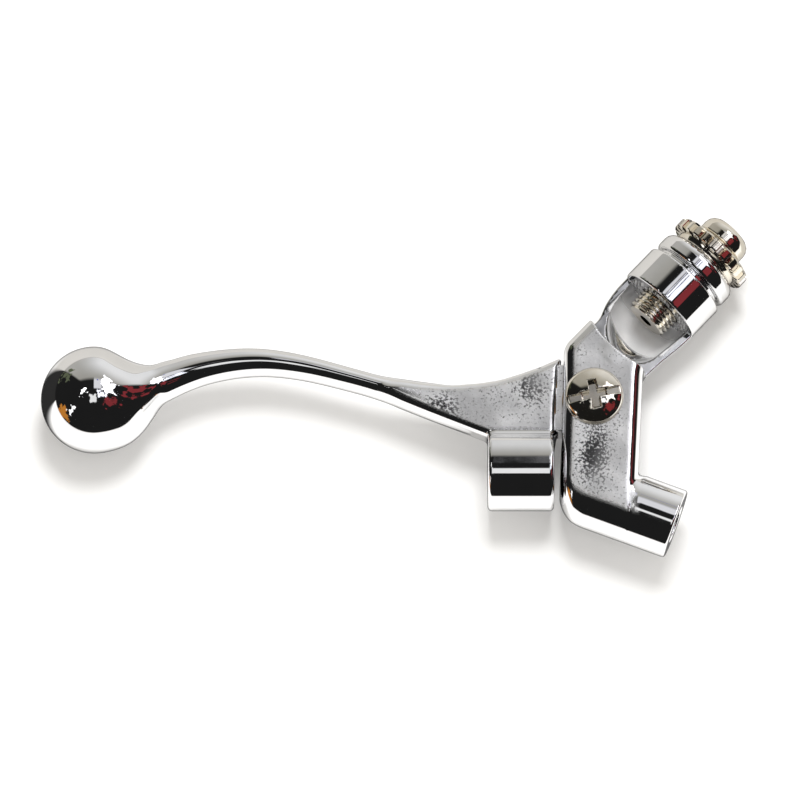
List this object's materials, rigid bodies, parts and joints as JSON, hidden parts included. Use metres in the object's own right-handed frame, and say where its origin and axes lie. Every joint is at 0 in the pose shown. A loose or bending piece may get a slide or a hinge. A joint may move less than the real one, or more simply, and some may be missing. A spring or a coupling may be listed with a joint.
{
  "type": "clutch lever",
  "caption": "Chromed hand lever with a ball end and slim curved arm, pivoted on a cast perch that has a round mounting spigot and a screwed cable adjuster on a slanted stem.",
  "frame": {"origin": "centre of the end face of the round mounting spigot", "axes": "+X to the right with the ball end at the left, +Y up the page, +Z along the pivot screw towards its head; z = 0 is the middle of the lever's and the body's thickness"},
  "size_m": [0.1523, 0.0752, 0.023],
  "materials": {
    "chrome_casting": "bright chrome plate over a slightly grainy casting",
    "chrome_casting_lever": "bright chrome plate, polished on the arm and ball, grainy on the flat web",
    "bronze": "turned sintered bronze",
    "bronze_washer": "stamped phosphor bronze",
    "nickel_screw": "bright nickel plate",
    "zinc_washer": "zinc-plated spring steel",
    "zinc_nut": "zinc-plated steel",
    "chrome_ring": "bright chrome plate, polished",
    "nickel_adjuster": "bright nickel plate over turned brass",
    "nickel_ferrule": "bright nickel plate, polished"
  },
  "bodies": {
    "perch": {"perch_body": "chrome_casting", "pivot_screw": "nickel_screw", "nut_lock_washer": "zinc_washer", "pivot_nut": "zinc_nut", "thrust_washers": "bronze_washer"},
    "lever": {"lever": "chrome_casting_lever", "pivot_bush": "bronze"},
    "lock_ring": {"lock_ring": "chrome_ring"},
    "casing_end": {"casing_ferrule": "nickel_ferrule"},
    "adjuster": {"adjuster_screw": "nickel_adjuster"}
  },
  "joints": [
    {"name": "lever_swing", "type": "hinge", "parent": "perch", "child": "lever", "pos_m": [-0.0175, 0.0264, 0], "axis": [0, 0, -1], "range_deg": [-2, 28]},
    {"name": "lock_ring_turn", "type": "hinge", "parent": "perch", "child": "lock_ring", "pos_m": [0.00466, 0.0568, 0], "axis": [0.6858, 0.7278, 0], "continuous": true},
    {"name": "adjuster_travel", "type": "slide", "parent": "perch", "child": "casing_end", "axis": [0.6858, 0.7278, 0], "range_m": [0, 0.0045]},
    {"name": "adjuster_turn", "type": "hinge", "parent": "casing_end", "child": "adjuster", "pos_m": [0.00809, 0.06044, 0], "axis": [0.6858, 0.7278, 0], "range_deg": [0, 1440]}
  ],
  "couplings": [
    {"joint": "adjuster_travel", "follows": "adjuster_turn", "m_per_rad": 0.00015915}
  ]
}
